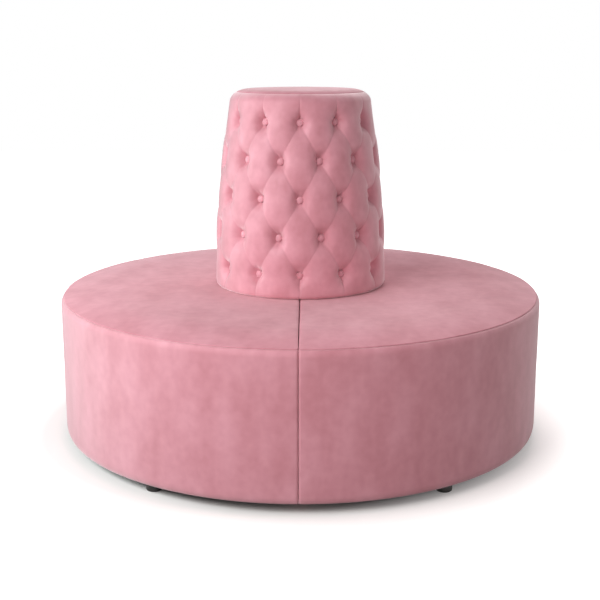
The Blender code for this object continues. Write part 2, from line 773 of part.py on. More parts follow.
def back_foam_data():
    outer = tufted_rings(VELVET + FIT_GAP)[FIRST_BUTTON_RING - 1 :]
    bearings = [360 * i / BACK_STEPS for i in range(BACK_STEPS)]
    inner = []
    for height in (outer[-1][0][2], BACK_CORE_TOP):
        ring = [on_bearing(core_radius(height) + FIT_GAP, bearing) for bearing in bearings]
        inner.append([(x, y, height) for x, y in ring])
    made, _ = loft([*outer, *inner], closed=True, folded=True)
    return mesh_data("back_foam", made)


def skin_profile():
    top, bottom = BACK_CORE_TOP, BACK_CORE_BOTTOM
    return [
        (core_radius(top), top),
        (core_radius(bottom), bottom),
        (core_inner_radius(bottom), bottom),
        (core_inner_radius(top), top),
    ]


def crown_ring(drop):
    """The ring half way in over the back's gently crowned top."""
    height = BACK_TOP - BACK_TOP_CROWN / 4 - drop
    return [(x, y, height) for x, y in circle((0, 0), BACK_SEAM_RADIUS / 2, BACK_STEPS)]


def pad_data():
    """The foam pad on top of the back."""
    depth = VELVET + FIT_GAP
    seam, shoulder, base = tufted_rings(depth)[: FIRST_BUTTON_RING]
    base = [(x, y, BACK_PAD_BOTTOM) for x, y, _ in base]
    made, _ = loft([crown_ring(depth), seam, shoulder, base], closed=False, folded=True)
    return mesh_data("back_top_pad", made)


def top_cover_profile():
    edge = BACK_SEAM_RADIUS - VELVET - FIT_GAP
    rim = BACK_TOP - BACK_TOP_CROWN
    middle = BACK_TOP - BACK_TOP_CROWN / 4
    return [
        (0, BACK_TOP),
        (BACK_SEAM_RADIUS / 2, middle),
        (edge, rim),
        (edge, rim - VELVET),
        (BACK_SEAM_RADIUS / 2, middle - VELVET),
        (0, BACK_TOP - VELVET),
    ]


def post_hole(bearing):
    """A square hole for a post, turned to face the axis."""
    half = BACK_POST / 2 + FIT_GAP
    x, y = on_bearing(BACK_POST_PLACE, bearing)
    turn = math.radians(bearing)
    corners = [(-half, -half), (half, -half), (half, half), (-half, half)]
    return [
        (x + a * math.cos(turn) - b * math.sin(turn), y + a * math.sin(turn) + b * math.cos(turn))
        for a, b in corners
    ]


def core_disc_radius(height):
    """Radius of a board inside the skin whose top is at that height."""
    return core_inner_radius(height) - FIT_GAP


def core_disc(name, bottom, thickness, holes, parent):
    edge = circle((0, 0), core_disc_radius(bottom + thickness), BACK_STEPS)
    data = board_data(name, [edge, *holes], thickness)
    return place(name, data, parent, "plywood", (0, 0, bottom + thickness / 2))


def build_back_core(parent):
    bolts = [
        circle((sign * x, sign * y), BOLT_HOLE_RADIUS, HOLE_SIDES)
        for x, y in bolt_places()
        for sign in (1, -1)
    ]
    core_disc("back_base_board", BACK_CORE_BOTTOM, BACK_BASE_BOARD, bolts, parent)
    top_bottom = BACK_CORE_TOP - BACK_TOP_BOARD
    core_disc("back_top_board", top_bottom, BACK_TOP_BOARD, [], parent)
    former_bottom = (BACK_CORE_BASE_TOP + top_bottom) / 2
    former_holes = [post_hole(bearing) for bearing in BACK_POST_BEARINGS]
    former_holes.append(circle((0, 0), BACK_FORMER_HOLE_RADIUS, LARGE_HOLE_SIDES))
    core_disc("back_former", former_bottom, BACK_FORMER, former_holes, parent)
    post_length = top_bottom - BACK_CORE_BASE_TOP - 2 * FIT_GAP
    post_middle = (top_bottom + BACK_CORE_BASE_TOP) / 2
    half = BACK_POST / 2
    square = [(-half, -half), (half, -half), (half, half), (-half, half)]
    post = board_data("back_post", [square], post_length)
    for number, bearing in enumerate(BACK_POST_BEARINGS, start=1):
        spot = (*on_bearing(BACK_POST_PLACE, bearing), post_middle)
        turn = (0, 0, math.radians(bearing))
        place(f"back_post_{number}", post, parent, "plywood", spot, turn)
    turned_data("back_skin", skin_profile(), "plywood", parent, BACK_STEPS)


def build_back():
    parent = make_empty("back", 0)
    build_back_core(parent)
    place("back_foam", back_foam_data(), parent, "foam")
    place("back_top_pad", pad_data(), parent, "foam")
    place("back_cover", back_cover_data(), parent, "velvet")
    turned_data("back_top_cover", top_cover_profile(), "velvet", parent, BACK_STEPS)


def main():
    clear_scene()
    sofa = bpy.data.collections.new("round_banquette")
    bpy.context.scene.collection.children.link(sofa)
    make_materials()
    build_seats()
    build_fixings()
    build_back()


main()
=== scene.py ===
"""Looks of the round two-part banquette sofa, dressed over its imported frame.

Lengths are in metres, +Z is up and -Y is the front. Bearings round the sofa are counted
from the front towards the right (+X), in radians but for the lights. Turns on a rounded
edge go from 0 where it is upright to 90 degrees where it is level. Each upholstered piece
is a mesh made from the sizes of the solid that it stands for.
"""

import math
import random

import bmesh
import bpy
import numpy as np
from mathutils import Matrix, Vector, noise


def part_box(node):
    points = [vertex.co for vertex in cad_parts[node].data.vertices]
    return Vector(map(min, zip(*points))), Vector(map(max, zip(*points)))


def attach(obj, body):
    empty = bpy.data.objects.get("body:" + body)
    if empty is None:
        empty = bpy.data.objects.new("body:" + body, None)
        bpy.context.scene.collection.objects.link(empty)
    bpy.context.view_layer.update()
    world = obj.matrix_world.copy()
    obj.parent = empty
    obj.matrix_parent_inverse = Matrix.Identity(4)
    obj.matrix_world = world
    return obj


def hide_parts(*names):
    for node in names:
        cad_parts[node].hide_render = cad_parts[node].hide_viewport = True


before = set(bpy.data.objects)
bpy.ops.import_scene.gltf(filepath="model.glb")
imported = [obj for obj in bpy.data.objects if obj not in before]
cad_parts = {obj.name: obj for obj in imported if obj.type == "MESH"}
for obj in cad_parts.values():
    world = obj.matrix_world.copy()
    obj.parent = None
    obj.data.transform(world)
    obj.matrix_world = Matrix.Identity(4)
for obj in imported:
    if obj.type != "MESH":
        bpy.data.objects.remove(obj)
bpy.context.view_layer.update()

random.seed(7)

SIDES = ("left", "right")

# Sizes taken from the frame
HALF_LOW, HALF_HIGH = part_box("band_cover_right")
SEAT_RADIUS = HALF_HIGH.x
JOINT_FACE = HALF_LOW.x
HEM_HEIGHT = HALF_LOW.z
SEAM_HEIGHT = HALF_HIGH.z
SEAT_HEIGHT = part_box("seat_cover_right")[1].z
BASE_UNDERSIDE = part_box("base_board_right")[0].z
DECK_UNDERSIDE, DECK_TOP = (corner.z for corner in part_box("deck_board_right"))
DUST_CLOTH_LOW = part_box("dust_cover_right")[0].z
CORE_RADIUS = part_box("back_skin")[1].x
BACK_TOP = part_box("back_top_cover")[1].z
BACK_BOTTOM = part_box("back_cover")[0].z
BACK_HEIGHT = BACK_TOP - SEAT_HEIGHT

# Upholstery of the seat: the rolled edge above the seam and the crown inside it
SEAT_EDGE_RADIUS = 0.024
SEAM_TURN = math.radians(50)
SEAM_TUCK = 0.0006
SEAM_GAP = 0.0003
SEAT_LIP = 0.0030
SEAT_CROWN_RUN = 0.150
# The straight side of each half, at the joint between them
CORNER_RADIUS = 0.0065
JOINT_EASE = 0.001
JOINT_EDGE_RADIUS = 0.0012
JOINT_DIP = 0.0024
JOINT_DIP_RUN = 0.009
# The hem, and the lip that it has under the box
HEM_INSET = 0.009
HEM_RISE = 0.022
HEM_CURL = 0.006
HEM_LIP = 0.018
WADDING = 0.006
VELVET_THICKNESS = 0.0015
# The gap between the seat and the back's core
WELL_CLEARANCE = 0.0026

# Slack of the cloth, and the lengths over which it sets in
SLACK = 0.0007
BACK_SLACK = 0.0006
SEAM_SLACK_RUN = 0.03
HEM_SLACK_RUN = 0.02
JOINT_STILL = 0.012
# Its noise: size of the broad waves, size of the fine ones and their strength
SEAT_WAVES = (0.11, 0.045, 0.5)
BAND_WAVES = (0.09, 0.035, 0.4)
JOINT_WAVE = 0.07
DUST_WAVE = 0.08
BACK_WAVE = 0.05
# Its scale along each axis: waves are longer where it is under 1
BAND_SCALE = (1, 1, 0.45)
JOINT_SCALE = (1, 1, 0.6)
SEAT_SEEDS = {"left": 8, "right": 3}
BAND_SEEDS = {"left": 12, "right": 5}
DUST_SEEDS = {"left": 47, "right": 41}
JOINT_SEED = 31
BACK_SEED = 21
SEED_STEP = (17.3, 5.1, 9.7)

# Upholstery of the back. Its top seam lies on the shoulder, the rounded edge of its top
BACK_BASE_RADIUS = 0.258
BACK_TOP_RADIUS = 0.202
BACK_BULGE = 0.015
BACK_EDGE_RADIUS = 0.038
BACK_TOP_CROWN = 0.003
BACK_CROWN_CURVE = 2.2
BACK_TOP_FLAT_RADIUS = 0.152
BACK_SHOULDER = BACK_TOP - BACK_TOP_CROWN - BACK_EDGE_RADIUS
BACK_SEAM_DEGREES = 52
BACK_SEAM_TUCK = 0.0006
# First and last turn on the shoulder of the rings of the cover and of the top panel
COVER_DEGREES = (BACK_SEAM_DEGREES - 2, 4)
PANEL_DEGREES = (84, BACK_SEAM_DEGREES + 2)
# The top panel's innermost ring, and how far in and down its edge turns under the seam
PANEL_MIDDLE = 0.0005
PANEL_TURN_IN = (0.01, 0.012)
# The cover's hem, rounded in under the back
BACK_HEM_RADIUS = 0.013
BACK_HEM_DEGREES = (8, 90)

# Deep buttoning: the rows, and the pillows that swell between the folds
BUTTONS_ROUND = 12
BUTTON_ROWS = 5
FIRST_ROW_HEIGHT = SEAT_HEIGHT + 0.066
LAST_ROW_HEIGHT = BACK_TOP - 0.089
ROW_SPACING = (LAST_ROW_HEIGHT - FIRST_ROW_HEIGHT) / (BUTTON_ROWS - 1)
PILLOW_DEPTH = 0.0030
# Folds from button to button, and how much deeper the upright ones past the outer rows are
FOLD_DEPTH = 0.0010
FOLD_WIDTH = 0.0014
UPRIGHT_FOLD = 1.0
UPRIGHT_RUN = 0.2
# The pit round each button
PIT_DEPTH = 0.0255
PIT_REACH = 0.0175
PIT_WIDTH = 0.0280
PIT_HEIGHT = 0.034
PIT_FLOOR = 0.0085
# The pleats that run into each pit, turned from button to button
PLEAT_SLANT = 0.7
PLEATS = 7
PLEAT_DEPTH = 0.0009
PLEAT_REACH = 0.013
PLEAT_PEAK = 1.1
PLEAT_FALL = 2
PLEAT_PHASES = (2.4, 1.7)
# Buttons: their dome, their edge as shares of the radius with heights, and their scatter
BUTTON_RADIUS = 0.0101
BUTTON_RISE = 0.0046
BUTTON_LIFT = 0.0060
BUTTON_MIDDLE = 0.0008
BUTTON_DEGREES = (78, 0)
BUTTON_EDGE = ((0.93, -0.0016), (0.70, -0.0030))
BUTTON_TILT = 0.05
BUTTON_SHIFT = 0.0008
SLOPE_STEP = 0.01

# Feet: the edges, the spigot, the gap to the base board and the dished underside
FOOT_EDGE = 0.005
FOOT_TOP_EDGE = 0.001
FOOT_SPIGOT = 0.005
FOOT_GAP = 0.0015
FOOT_DISH = ((0.55, 0), (0.5, 0.001))

# Dust cloth: its folded edge, its sag with wrinkles, and its hold by the edge and fixings
DUST_CLOTH_THICKNESS = 0.0008
DUST_FOLD = 0.013
DUST_FOLD_RUN = 0.001
DUST_FOLD_RISE = 0.0006
DUST_SAG = 0.0022
DUST_SAG_MEAN = 0.7
DUST_SAG_SWING = 0.6
DUST_EDGE_RUN = 0.06
FIXING_HOLE = 0.011
FIXING_FLAT = 0.024
FIXING_RUN = 0.05
# Its grid's straight side, as a share of the chord that it spans
STRAIGHT_SHARE = 0.97
# Staples: how far in they bend, the heights of knee and end over the cloth, how far ahead they
# aim along the edge, and by how much they miss, in radians
STAPLE_SPACING = 0.045
STAPLE_LENGTH = 0.010
STAPLE_WIRE = 0.0006
STAPLE_BEND = 0.0004
STAPLE_KNEE = 0.0002
STAPLE_END = 0.0012
STAPLE_AHEAD = 0.002
STAPLE_SKEW = 0.12

# Facets
OUTER_POINTS = 220
UNDERSIDE_POINTS = 70
CORNER_POINTS = 7
JOINT_POINTS = 44
BAND_ROWS = 64
BAND_EDGE_STEPS = 5
HEM_STEPS = 10
EDGE_STEPS = 7
CELL_STEPS = 26
BACK_EDGE_STEPS = 10
BACK_HEM_STEPS = 7
PANEL_SIDES = 192
PANEL_STEPS = 6
BUTTON_SIDES = 28
BUTTON_STEPS = 8
FOOT_SIDES = 48
FOOT_STEPS = 6
FOOT_TOP_STEPS = 3
STAPLE_SIDES = 6
# Shares of the way from the seat's outer line to the well, and of the back's level top
PLAN_SHARES = np.concatenate([[0, 0.006], np.linspace(0.02, 1, JOINT_POINTS)])
PANEL_SHARES = np.linspace(0.08, 1, 14)

# Camera
CAMERA_PLACE = (0.0217, -3.2739, 1.1547)
CAMERA_PITCH = 0.2290
CAMERA_YAW = 0.0070
CAMERA_LENS = 65.43
SENSOR_WIDTH = 36.0

# Noise textures lie about 0.5 and mostly between these
NOISE_LOW, NOISE_HIGH = 0.3, 0.7

# Velvet. Green and blue turn deeper than red where the nap is dark
VELVET = (0.640, 0.266, 0.316)
NAP_DEPTH = 1.7
SHEEN_TINT = (1.0, 0.87, 0.89, 1.0)
# Noise of its patches, marks and pile: scale, detail, roughness and swing of the lightness
PATCHES = (10.0, 2.5, 0.5, 0.085)
MARKS = (42.0, 1.5, 0.5, 0.035)
PILE = (900.0, 2.0, 0.7, 0.02)
# Bump of its patches and its pile: strength and depth
LEAN = (0.3, 0.003)
FUZZ = (0.3, 0.0002)
# Each cover: scale of its patches along each axis, weight and roughness of its sheen,
# roughness and specular level of its gloss, and lightness
SEAT_LOOK = ((1.2, 0.8, 1.2), (0.4, 0.40), (0.8, 0.25), 1.0)
BAND_LOOK = ((1.5, 1.5, 0.6), (0.8, 0.50), (0.60, 0.3), 1.0)
BACK_LOOK = ((2.2, 2.2, 1.6), (1.0, 0.50), (0.5, 0.3), 1.0)
# The buttons' lightness of 1.06 is painted highlight: their velvet is made lighter for the light
# that their raised domes catch
BUTTON_LOOK = ((1.0, 1.0, 1.0), (1.0, 0.50), (0.5, 0.3), 1.06)

# Grainy materials: colour, roughness, and scale and depth of the grain
STEEL = ((0.55, 0.56, 0.58), 0.35, 120.0, 0.0002)
DUST_CLOTH = ((0.013, 0.013, 0.014), 0.9, 700.0, 0.0004)
BLACK_PLASTIC = ((0.016, 0.014, 0.013), 0.42, 260.0, 0.0003)
GRAIN_NOISE = (4.0, 0.6)
GRAIN_STRENGTH = 0.4
GRAIN_SWING = 0.15
GRAIN_ROUGHNESS_SWING = 0.08

# Plywood: its ramp of colours over the grain, and the scale of the grain, which runs along X,
# with its noise and its bump
PLYWOOD_RAMP = ((0.3, (0.40, 0.25, 0.13, 1)), (0.7, (0.62, 0.44, 0.27, 1)))
PLYWOOD_SCALE = (1.0, 9.0, 9.0)
PLYWOOD_NOISE = (14.0, 6.0, 0.6, 1.2)
PLYWOOD_BUMP = (0.2, 0.0006)
PLYWOOD_ROUGHNESS = 0.7

# Stage: the floor's bounce, its look, and the radii between which its shadow fades to white
FLOOR_REACH = 9
FLOOR_BOUNCE = 0.25
FLOOR_SEEN = 0.92
FLOOR_TINT = (1.0, 0.975, 0.955)
SHADOW_CENTRE = (-0.10, 0.0, 0.0)
SHADOW_START = 0.69
SHADOW_END = 1.10
SKY = 0.17
WHITE = (1, 1, 1, 1)

# Lights: bearing and elevation in degrees, distance, size, power in watts and colour
LIGHTS = {
    "key": (-32, 28, 3.0, 1.3, 38, (1.0, 0.98, 0.97)),
    "key_left": (-58, 28, 3.0, 1.2, 32, (0.90, 0.99, 1.0)),
    "low_left": (-90, 8, 2.6, 1.2, 31, (0.90, 0.99, 1.0)),
    "low_right": (12, 6, 2.4, 1.0, 7, (1.0, 0.88, 0.88)),
    "right": (84, 8, 2.6, 1.2, 7, (1.0, 0.90, 0.90)),
    "right_rear": (120, 14, 3.4, 1.8, 9, (1.0, 0.92, 0.92)),
    "top_rear": (160, 50, 3.2, 1.8, 36, (1.0, 0.96, 0.96)),
}
LIGHT_AIM = 0.45


# Meshes


def on_bearing(radius, bearing):
    """(x, y) at a distance from the axis."""
    return np.stack([radius * np.sin(bearing), -radius * np.cos(bearing)], axis=-1)


def ring_faces(first, second, closed):
    """Quads between two rows of vertex numbers of equal length."""
    count = len(first)
    last = count if closed else count - 1
    return [
        (first[i], first[(i + 1) % count], second[(i + 1) % count], second[i]) for i in range(last)
    ]


def add_mesh(name, points, faces, material, smooth=True):
    mesh = bpy.data.meshes.new(name)
    mesh.from_pydata([tuple(point) for point in points], [], faces)
    mesh.validate()
    mesh.update()
    if smooth:
        mesh.shade_smooth()
    mesh.materials.append(material)
    obj = bpy.data.objects.new(name, mesh)
    bpy.context.scene.collection.objects.link(obj)
    return obj


def outward(obj):
    """Turns a closed mesh's faces to the outside."""
    made = bmesh.new()
    made.from_mesh(obj.data)
    bmesh.ops.recalc_face_normals(made, faces=made.faces)
    made.to_mesh(obj.data)
    made.free()


def lathe_points(profile, sides):
    """One ring of points for each (radius, height) of a profile."""
    turns = np.arange(sides) * 2 * math.pi / sides
    rings = [
        np.concatenate([on_bearing(radius, turns), np.full((sides, 1), height)], axis=1)
        for radius, height in profile
    ]
    return np.concatenate(rings)


def lathe_faces(rows, sides, start=0):
    """Faces between the rings of a turned shape, and a face over each end."""
    faces = []
    for row in range(rows - 1):
        first = [start + row * sides + i for i in range(sides)]
        faces += ring_faces(first, [i + sides for i in first], closed=True)
    last = start + (rows - 1) * sides
    faces.append(tuple(range(start, start + sides)))
    faces.append(tuple(range(last, last + sides)))
    return faces


def lathe(name, profile, sides, material, place=(0, 0, 0)):
    """A round piece from a profile of (radius, height)."""
    points = lathe_points(profile, sides) + np.array(place)
    obj = add_mesh(name, points, lathe_faces(len(profile), sides), material)
    outward(obj)
    return obj


def arc_profile(centre, radius, start, end, steps):
    """(radius, height) points on an arc, in degrees from straight outward, upwards."""
    turns = np.radians(np.linspace(start, end, steps + 1))
    return [(centre[0] + radius * math.cos(t), centre[1] + radius * math.sin(t)) for t in turns]


def edge_loop(grid):
    """The border of a grid as one closed line."""
    return np.concatenate([grid[0], grid[1:, -1], grid[-1, -2::-1], grid[-2:0:-1, 0]])


def ringed_grid(grid, rings):
    """Points and faces of a grid and of the closed rings that go on from its border, and the
    numbers of the last ring's points."""
    rows, columns = grid.shape[:2]
    numbers = np.arange(rows * columns).reshape(rows, columns)
    faces = []
    for first, second in zip(numbers, numbers[1:]):
        faces += ring_faces(list(first), list(second), closed=False)
    inner = list(edge_loop(numbers[..., None]).reshape(-1))
    start = rows * columns
    for ring in rings:
        outer = list(range(start, start + len(ring)))
        faces += ring_faces(outer, inner, closed=True)
        inner = outer
        start += len(ring)
    return np.concatenate([grid.reshape(-1, 3), *rings]), faces, inner


def mirrored(points, side):
    """Points of the right half, for either side."""
    points = np.array(points, dtype=float)
    if side == "left":
        points[:, 0] *= -1
    return points


def cloth_noise(points, size, seed):
    """Smooth noise from -1 to 1 at each point, with features of about that size."""
    shift = Vector([seed * step for step in SEED_STEP])
    return np.array([noise.noise(Vector(point) / size + shift) for point in points])


def cloth_waves(points, waves, seed):
    """Broad waves of cloth with finer ones on them."""
    broad, fine, strength = waves
    return cloth_noise(points, broad, seed) + strength * cloth_noise(points, fine, seed + 1)


def finish_piece(obj, slot, *replaced):
    """Attaches a piece to the root body and hides the nodes that it stands for. The slot is not
    used.
    """
    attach(obj, "root")
    if replaced:
        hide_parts(*replaced)


# Materials


def new_material(name):
    """A material with its node tree and its shader."""
    material = bpy.data.materials.new(name)
    material.use_nodes = True
    tree = material.node_tree
    return material, tree, tree.nodes["Principled BSDF"]


def add_node(tree, kind, inputs=None, **settings):
    """A node whose inputs are each a value or the socket that feeds it."""
    node = tree.nodes.new(kind)
    for key, value in settings.items():
        setattr(node, key, value)
    for key, value in (inputs or {}).items():
        if isinstance(value, bpy.types.NodeSocket):
            tree.links.new(value, node.inputs[key])
        else:
            node.inputs[key].default_value = value
    return node


def noise_node(tree, vector, scale, detail, roughness, distortion=0.0):
    inputs = {
        "Vector": vector,
        "Scale": scale,
        "Detail": detail,
        "Roughness": roughness,
        "Distortion": distortion,
    }
    return add_node(tree, "ShaderNodeTexNoise", inputs).outputs["Fac"]


def math_node(tree, operation, first, second):
    return add_node(tree, "ShaderNodeMath", {0: first, 1: second}, operation=operation).outputs[0]


def bump_node(tree, height, strength, depth, normal=None):
    inputs = {"Strength": strength, "Distance": depth, "Height": height}
    if normal is not None:
        inputs["Normal"] = normal
    return add_node(tree, "ShaderNodeBump", inputs).outputs["Normal"]


def object_place(tree):
    return add_node(tree, "ShaderNodeTexCoord").outputs["Object"]


def scaled(tree, place, scale):
    """The place, with a scale along each axis."""
    inputs = {"Vector": place, "Scale": scale}
    return add_node(tree, "ShaderNodeMapping", inputs, vector_type="POINT").outputs["Vector"]


def spread(tree, value, low, high):
    """Noise, spread over low to high."""
    inputs = {
        "Value": value,
        "From Min": NOISE_LOW,
        "From Max": NOISE_HIGH,
        "To Min": low,
        "To Max": high,
    }
    return add_node(tree, "ShaderNodeMapRange", inputs, clamp=True).outputs[0]


def set_base_colour(tree, shader, colour, red, green_and_blue):
    """The colour times a lightness, which green and blue have apart from red."""
    inputs = {"Red": red, "Green": green_and_blue, "Blue": green_and_blue}
    shade = add_node(tree, "ShaderNodeCombineColor", inputs).outputs["Color"]
    inputs = {"Factor": 1.0, "A": (*colour, 1.0), "B": shade}
    mixed = add_node(tree, "ShaderNodeMix", inputs, data_type="RGBA", blend_type="MULTIPLY")
    tree.links.new(mixed.outputs["Result"], shader.inputs["Base Color"])


def velvet_material(name, streaks, sheen, gloss, lightness):
    """Short-piled velvet, brushed into lighter and darker patches. Streaks scale the patches
    along each axis."""
    material, tree, shader = new_material(name)
    place = object_place(tree)
    patches = noise_node(tree, scaled(tree, place, streaks), *PATCHES[:3])
    pile = noise_node(tree, place, *PILE[:3])
    value = spread(tree, patches, -PATCHES[3], PATCHES[3])
    marks = noise_node(tree, place, *MARKS[:3])
    value = math_node(tree, "ADD", value, spread(tree, marks, -MARKS[3], MARKS[3]))
    value = math_node(tree, "ADD", value, spread(tree, pile, -PILE[3], PILE[3]))
    value = math_node(tree, "ADD", value, lightness)
    set_base_colour(tree, shader, VELVET, value, math_node(tree, "POWER", value, NAP_DEPTH))
    normal = bump_node(tree, pile, *FUZZ, bump_node(tree, patches, *LEAN))
    tree.links.new(normal, shader.inputs["Normal"])
    shader.inputs["Roughness"].default_value = gloss[0]
    shader.inputs["Specular IOR Level"].default_value = gloss[1]
    shader.inputs["Sheen Weight"].default_value = sheen[0]
    shader.inputs["Sheen Roughness"].default_value = sheen[1]
    shader.inputs["Sheen Tint"].default_value = SHEEN_TINT
    return material


def plywood_material():
    material, tree, shader = new_material("raw_plywood")
    grain = noise_node(tree, scaled(tree, object_place(tree), PLYWOOD_SCALE), *PLYWOOD_NOISE)
    ramp = add_node(tree, "ShaderNodeValToRGB", {"Fac": grain})
    for stop, (position, colour) in zip(ramp.color_ramp.elements, PLYWOOD_RAMP):
        stop.position = position
        stop.color = colour
    tree.links.new(ramp.outputs["Color"], shader.inputs["Base Color"])
    tree.links.new(bump_node(tree, grain, *PLYWOOD_BUMP), shader.inputs["Normal"])
    shader.inputs["Roughness"].default_value = PLYWOOD_ROUGHNESS
    return material


def grainy_material(name, colour, roughness, scale, depth, metallic=0.0):
    """A plain material whose colour and surface vary with fine noise."""
    material, tree, shader = new_material(name)
    grain = noise_node(tree, object_place(tree), scale, *GRAIN_NOISE)
    value = spread(tree, grain, 1.0 - GRAIN_SWING, 1.0 + GRAIN_SWING)
    set_base_colour(tree, shader, colour, value, value)
    low, high = roughness - GRAIN_ROUGHNESS_SWING, roughness + GRAIN_ROUGHNESS_SWING
    tree.links.new(spread(tree, grain, low, high), shader.inputs["Roughness"])
    tree.links.new(bump_node(tree, grain, GRAIN_STRENGTH, depth), shader.inputs["Normal"])
    shader.inputs["Metallic"].default_value = metallic
    return material


# Seat halves


def outer_line(radius, face, corner=CORNER_RADIUS):
    """The right half's curved side in plan, from the joint face at the front to that at the
    rear, with rounded corners."""
    middle = (face + corner, math.sqrt((radius - corner) ** 2 - (face + corner) ** 2))
    first = math.atan2(middle[0], middle[1])
    front_turns = np.linspace(-math.pi / 2, first, CORNER_POINTS)
    front = on_bearing(corner, front_turns) + np.array([middle[0], -middle[1]])
    rear_turns = np.linspace(math.pi - first, 1.5 * math.pi, CORNER_POINTS)
    rear = on_bearing(corner, rear_turns) + np.array(middle)
    outer = on_bearing(radius, np.linspace(first, math.pi - first, OUTER_POINTS))
    return np.concatenate([front[:-1], outer, rear[1:]])


def well_line(radius, face, like):
    """The well's edge in plan, with one point for each point of the outer line."""
    start = math.asin(face / radius)
    turns = np.arctan2(like[:, 0], -like[:, 1])
    share = (turns - turns[0]) / (turns[-1] - turns[0])
    return on_bearing(radius, start + share * (math.pi - 2 * start))


def seat_plan(outer_inset, joint_inset):
    """A grid in plan from the outer line to the well."""
    radius = SEAT_RADIUS - outer_inset
    face = JOINT_FACE + joint_inset
    outer = outer_line(radius, face)
    well = well_line(CORE_RADIUS + WELL_CLEARANCE, face, outer)
    shares = PLAN_SHARES[:, None, None]
    return outer[None] * (1 - shares) + well[None] * shares


def seam_insets(turn=SEAM_TURN):
    """How far in from the curved and the straight side the rounded edge lies at a turn."""
    tip = 1 - math.cos(turn)
    return SEAT_EDGE_RADIUS * tip, JOINT_EASE * tip


def top_height(plan):
    """Height of the seat's top, gently domed and drawn down a little beside the joint."""
    rim = SEAT_RADIUS - seam_insets()[0] - SEAT_LIP
    outer = rim - np.hypot(plan[..., 0], plan[..., 1])
    rise = 1 - (1 - np.clip(outer / SEAT_CROWN_RUN, 0, 1)) ** 2
    joint = plan[..., 0] - JOINT_FACE - JOINT_EDGE_RADIUS
    shoulder = (1 - np.clip(joint / JOINT_DIP_RUN, 0, 1)) ** 2
    low = SEAM_HEIGHT + SEAT_LIP
    return low + (SEAT_HEIGHT - low - JOINT_DIP * shoulder) * rise


def seat_cushion(side, material):
    """The padded seat of one half: its crown, its rolled edge and its underside."""
    outer_inset, joint_inset = seam_insets()
    plan = seat_plan(outer_inset + SEAT_LIP, joint_inset + JOINT_EDGE_RADIUS)
    heights = top_height(plan)[..., None]
    border = edge_loop(heights)
    low = SEAM_HEIGHT + SEAM_GAP
    levels = []
    for turn in np.radians(np.linspace(90, 0, EDGE_STEPS))[1:]:
        tip = 1 - math.cos(turn)
        insets = outer_inset + SEAT_LIP * tip, joint_inset + JOINT_EDGE_RADIUS * tip
        levels.append((insets, low + (border - low) * math.sin(turn)))
    flat = np.ones_like(border)
    tuck = outer_inset + SEAM_TUCK, joint_inset + SEAM_TUCK
    levels.append((tuck, flat * (low - SEAM_TUCK / 2)))
    levels.append(((SEAT_EDGE_RADIUS, SEAT_EDGE_RADIUS / 2), flat * (DECK_TOP + SLACK)))
    rings = [
        np.concatenate([edge_loop(seat_plan(*insets)), height], axis=1)
        for insets, height in levels
    ]
    points, faces, last = ringed_grid(np.concatenate([plan, heights], axis=-1), rings)
    faces.append(tuple(last))
    points = mirrored(points, side)
    lift = cloth_waves(points, SEAT_WAVES, SEAT_SEEDS[side])
    points[:, 2] += SLACK * lift * (points[:, 2] > SEAM_HEIGHT)
    obj = add_mesh("seat_cushion_" + side, points, faces, material)
    outward(obj)
    finish_piece(obj, "velvet", "seat_cover_" + side, "seat_foam_" + side)


def band_rows():
    """(outer inset, joint inset, height) down the band: the tuck at the seam, the rounded edge,
    the upright side, the hem and its lip under the box."""
    rows = []
    for turn in np.linspace(SEAM_TURN, 0, BAND_EDGE_STEPS):
        drop = SEAT_EDGE_RADIUS * (math.sin(SEAM_TURN) - math.sin(turn))
        rows.append((*seam_insets(turn), SEAM_HEIGHT - drop))
    outer_inset, joint_inset, height = rows[0]
    rows.insert(0, (outer_inset + SEAM_TUCK, joint_inset + SEAM_TUCK, height - SEAM_TUCK / 2))
    upright = np.linspace(rows[-1][2], HEM_HEIGHT + HEM_RISE, BAND_ROWS)[1:]
    rows += [(0, 0, height) for height in upright]
    for turn in np.radians(np.linspace(0, 90, HEM_STEPS))[1:]:
        rise = HEM_RISE * (1 - math.sin(turn))
        low = max(1 - rise / HEM_CURL, 0)
        curl = HEM_CURL * (1 - math.sqrt(1 - low**2))
        rows.append((HEM_INSET * (1 - math.cos(turn)), curl, HEM_HEIGHT + rise))
    rows.append((HEM_LIP, HEM_LIP, HEM_HEIGHT))
    return rows


